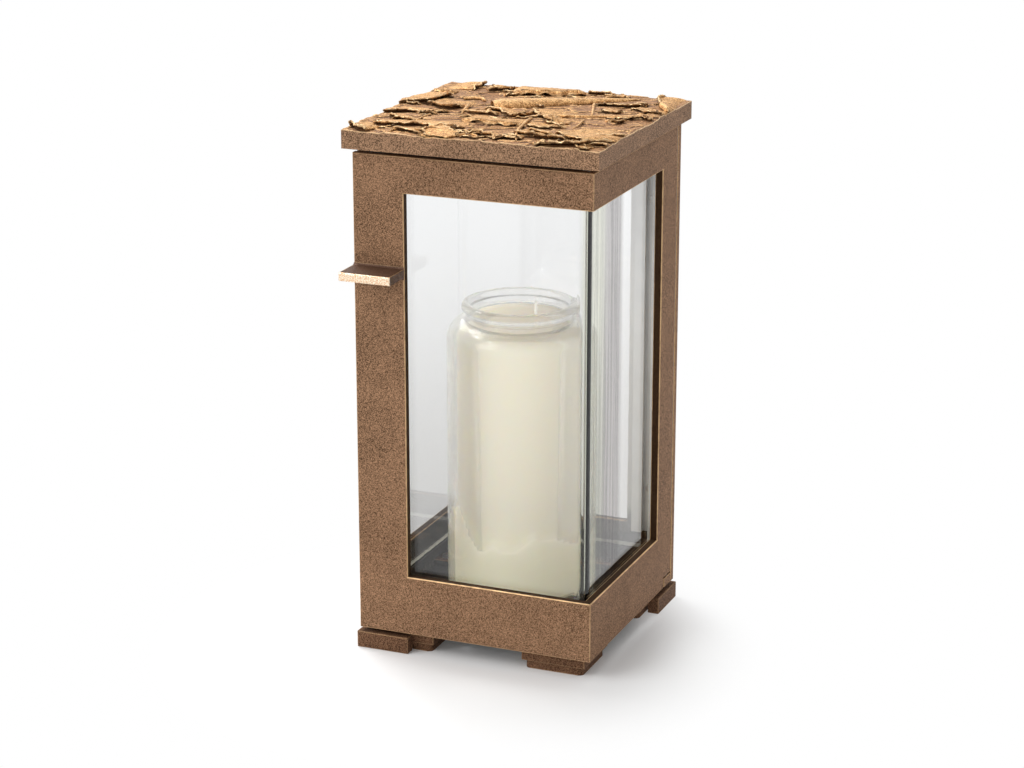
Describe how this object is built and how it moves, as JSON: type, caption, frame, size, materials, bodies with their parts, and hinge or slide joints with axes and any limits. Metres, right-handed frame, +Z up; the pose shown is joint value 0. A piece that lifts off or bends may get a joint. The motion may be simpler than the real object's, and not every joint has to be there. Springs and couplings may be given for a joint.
{
  "type": "grave lantern",
  "caption": "Square bronze lantern with a bark-relief lid, corner windows of bent glass, a hinged corner door with a ledge handle, feet, and a candle in a glass jar.",
  "frame": {"origin": "on the ground under the middle of the bounding box, 7 mm in front of the body's upright axis", "axes": "+Z up, -Y towards the front with the handle, +X towards the side with the hinge at its far end"},
  "size_m": [0.138, 0.152, 0.2838],
  "materials": {
    "bronze": "brown patina over a fine blasted surface, edges worn to copper",
    "bark_bronze": "golden brown patina on a cast bark relief, dark in the recesses",
    "polished_bronze": "brown patina with a brushed, copper-bright end face",
    "steel": "satin",
    "blackened": "matt black-brown",
    "magnet": "nickel plated",
    "clear_glass": "clear, smooth",
    "wax": "ivory, slightly translucent",
    "wick": "woven cotton"
  },
  "bodies": {
    "lantern": {"base_plate": "blackened", "back_shell": "bronze", "top_frame": "blackened", "lid": "bark_bronze", "lid_screw_left": "steel", "lid_screw_near": "steel", "lid_screw_right": "steel", "lid_screw_back": "steel", "base_screw_left_front": "steel", "base_screw_left_back": "steel", "base_screw_back_right": "steel", "base_screw_back_left": "steel", "frame_screw_left_front": "steel", "frame_screw_left_back": "steel", "frame_screw_back_right": "steel", "frame_screw_back_left": "steel", "foot_left": "bronze", "foot_near": "bronze", "foot_right": "bronze", "foot_back": "bronze", "foot_screw_left": "steel", "foot_screw_near": "steel", "foot_screw_right": "steel", "foot_screw_back": "steel", "back_glass": "clear_glass", "back_glass_rail": "blackened", "back_glass_strip_left": "blackened", "back_glass_strip_back": "blackened", "strip_left_screw_lower": "steel", "strip_left_screw_upper": "steel", "strip_back_screw_lower": "steel", "strip_back_screw_upper": "steel", "hinge_bracket": "bronze", "hinge_bracket_screw_inner": "steel", "hinge_bracket_screw_outer": "steel", "hinge_pin_bottom": "steel", "hinge_washer_bottom": "steel", "hinge_pin_top": "steel", "hinge_washer_top": "steel", "catch_block": "blackened", "catch_magnet": "magnet", "catch_block_screw": "steel", "candle_jar": "clear_glass", "candle_wax": "wax", "wick_holder": "steel", "candle_wick": "wick"},
    "door": {"door_shell": "bronze", "door_handle": "polished_bronze", "handle_screw_outer": "steel", "handle_screw_inner": "steel", "door_glass": "clear_glass", "door_glass_rail": "blackened", "door_glass_strip_front": "blackened", "door_glass_strip_side": "blackened", "strip_front_screw_lower": "steel", "strip_front_screw_upper": "steel", "strip_side_screw_lower": "steel", "strip_side_screw_upper": "steel", "catch_keeper": "steel"}
  },
  "joints": [
    {"name": "door_hinge", "type": "hinge", "parent": "lantern", "child": "door", "pos_m": [0.06275, 0.0615, 0.0162], "axis": [0, 0, 1], "range_deg": [0, 135]}
  ]
}
